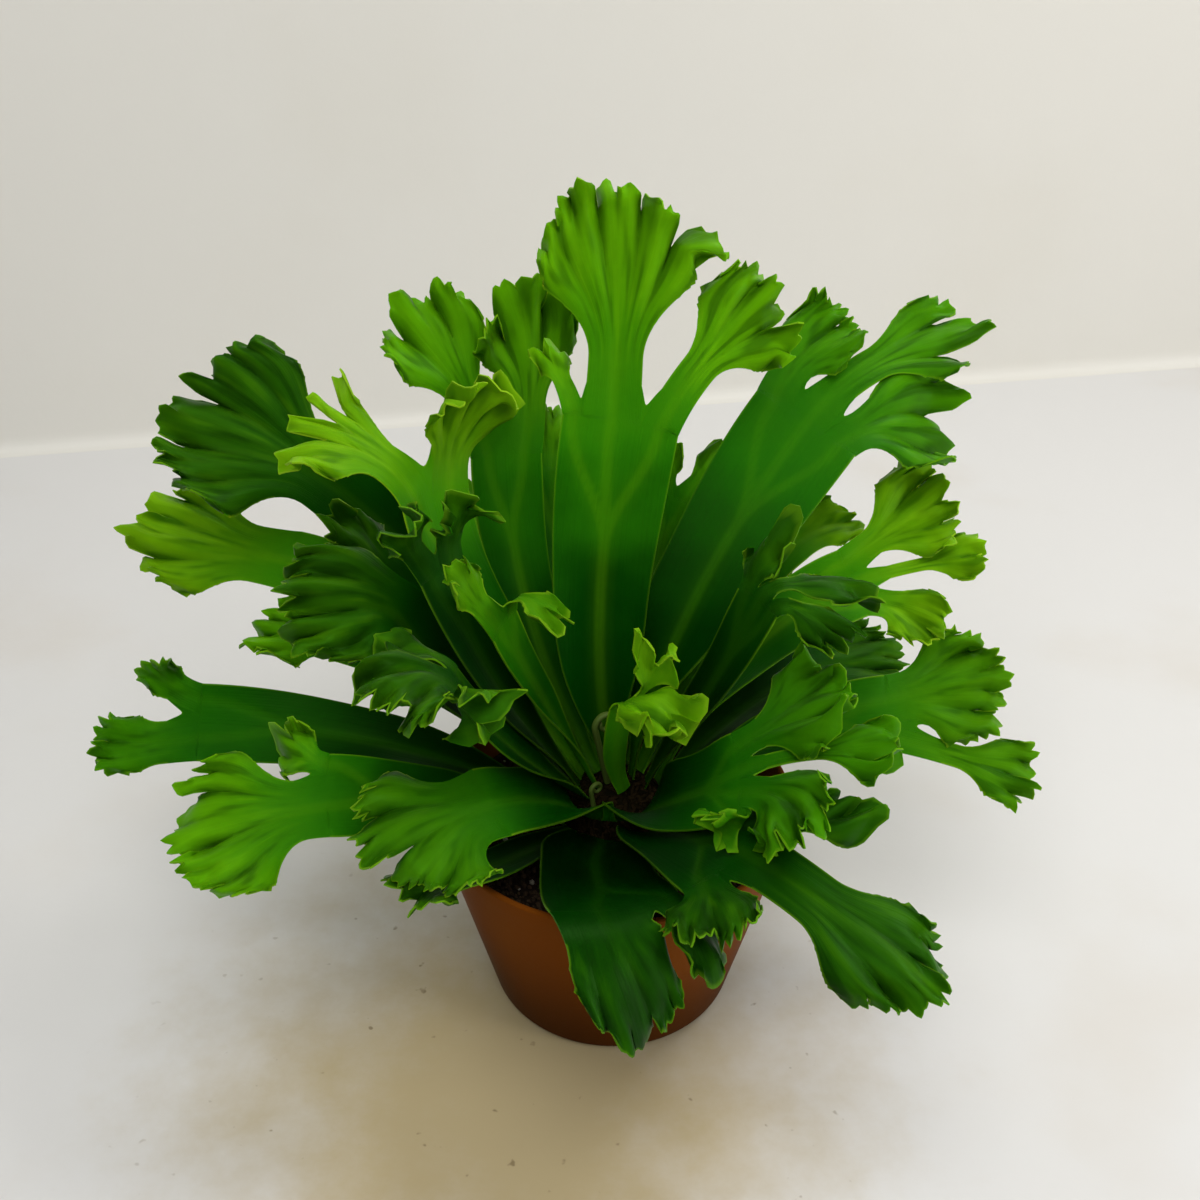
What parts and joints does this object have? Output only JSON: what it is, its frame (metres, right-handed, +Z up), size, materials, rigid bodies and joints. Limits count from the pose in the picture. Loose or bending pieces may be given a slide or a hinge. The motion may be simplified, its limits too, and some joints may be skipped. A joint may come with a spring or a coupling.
{
  "type": "potted bird's nest fern, crested form",
  "caption": "Crested bird's nest fern in a tapered plastic nursery pot: a rosette of glossy straps that fork and end in ruffled, toothed fans, with young coiled fronds at its centre.",
  "frame": {"origin": "centre of the pot's base, on the surface it stands on", "axes": "+Z up, -Y towards the plant's front, +X to its right as seen from the front"},
  "size_m": [0.2803, 0.2141, 0.2367],
  "materials": {
    "leaf_light": "glossy young yellow-green leaf",
    "leaf_mid": "glossy mid green leaf",
    "leaf_dark": "glossy dark green leaf",
    "crozier": "satin young frond with brown scales",
    "crown": "matte, covered in dark brown scales",
    "soil": "matte loose potting soil",
    "pot": "satin brown plastic"
  },
  "bodies": {
    "root": {"pot": "pot", "soil": "soil", "crown": "crown", "crozier_1": "crozier", "crozier_2": "crozier", "crozier_3": "crozier", "frond_01": "leaf_mid", "frond_02": "leaf_mid", "frond_03": "leaf_mid", "frond_04": "leaf_light", "frond_05": "leaf_dark", "frond_06": "leaf_light", "frond_07": "leaf_dark", "frond_08": "leaf_dark", "frond_09": "leaf_mid", "frond_10": "leaf_mid", "frond_11": "leaf_mid", "frond_12": "leaf_dark", "frond_13": "leaf_dark", "frond_14": "leaf_light", "frond_15": "leaf_light", "frond_16": "leaf_dark", "frond_17": "leaf_dark", "frond_18": "leaf_dark", "frond_19": "leaf_mid", "frond_20": "leaf_light", "frond_21": "leaf_light", "frond_22": "leaf_dark", "frond_23": "leaf_light", "frond_24": "leaf_light", "frond_25": "leaf_dark", "frond_26": "leaf_mid", "frond_27": "leaf_mid", "frond_28": "leaf_mid", "frond_29": "leaf_mid", "frond_30": "leaf_mid", "frond_31": "leaf_mid", "frond_32": "leaf_mid"}
  },
  "joints": []
}
